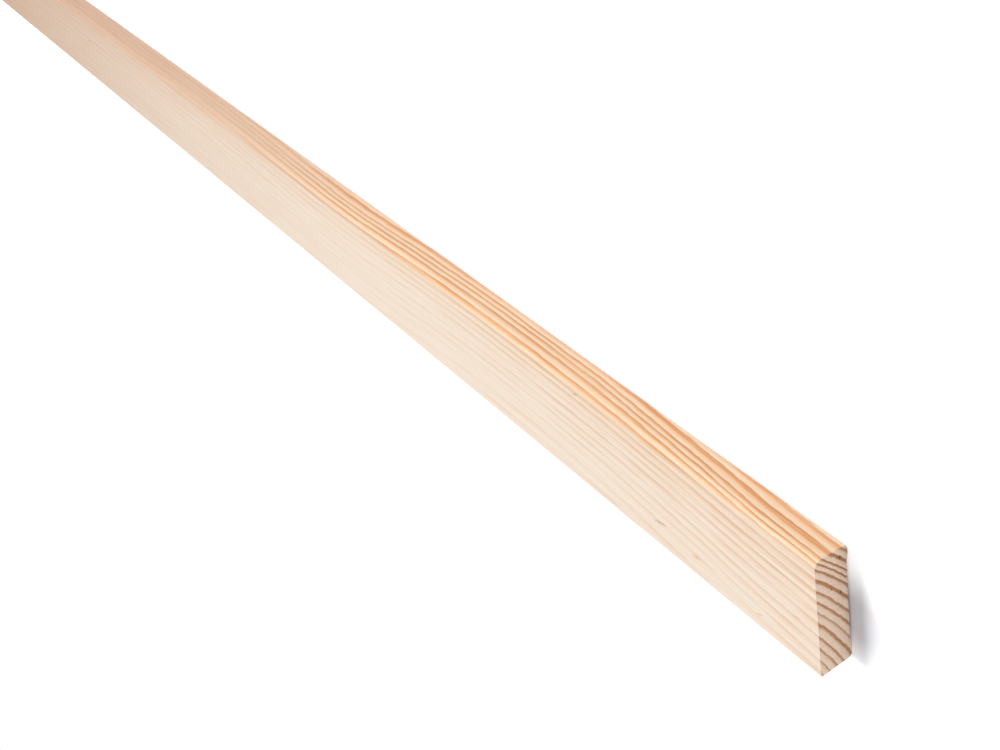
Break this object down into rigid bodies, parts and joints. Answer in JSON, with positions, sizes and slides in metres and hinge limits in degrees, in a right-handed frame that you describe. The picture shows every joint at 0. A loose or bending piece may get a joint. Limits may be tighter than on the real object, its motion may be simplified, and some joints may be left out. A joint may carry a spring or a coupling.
{
  "type": "floor moulding",
  "caption": "Straight strip of planed pine with a flat face, a rounded top edge and a slightly undercut floor edge, for covering the gap between floor and wall.",
  "frame": {"origin": "middle of the strip's length and width, on the plane its back rests on", "axes": "+X along the length, +Y across the face towards the rounded edge that is on top once fitted, +Z out of the face"},
  "size_m": [2.4, 0.045, 0.012],
  "materials": {
    "pine": "untreated planed pine, dull, with resin-coloured growth rings; sawn end grain"
  },
  "bodies": {
    "root": {"floor_moulding": "pine"}
  },
  "joints": []
}
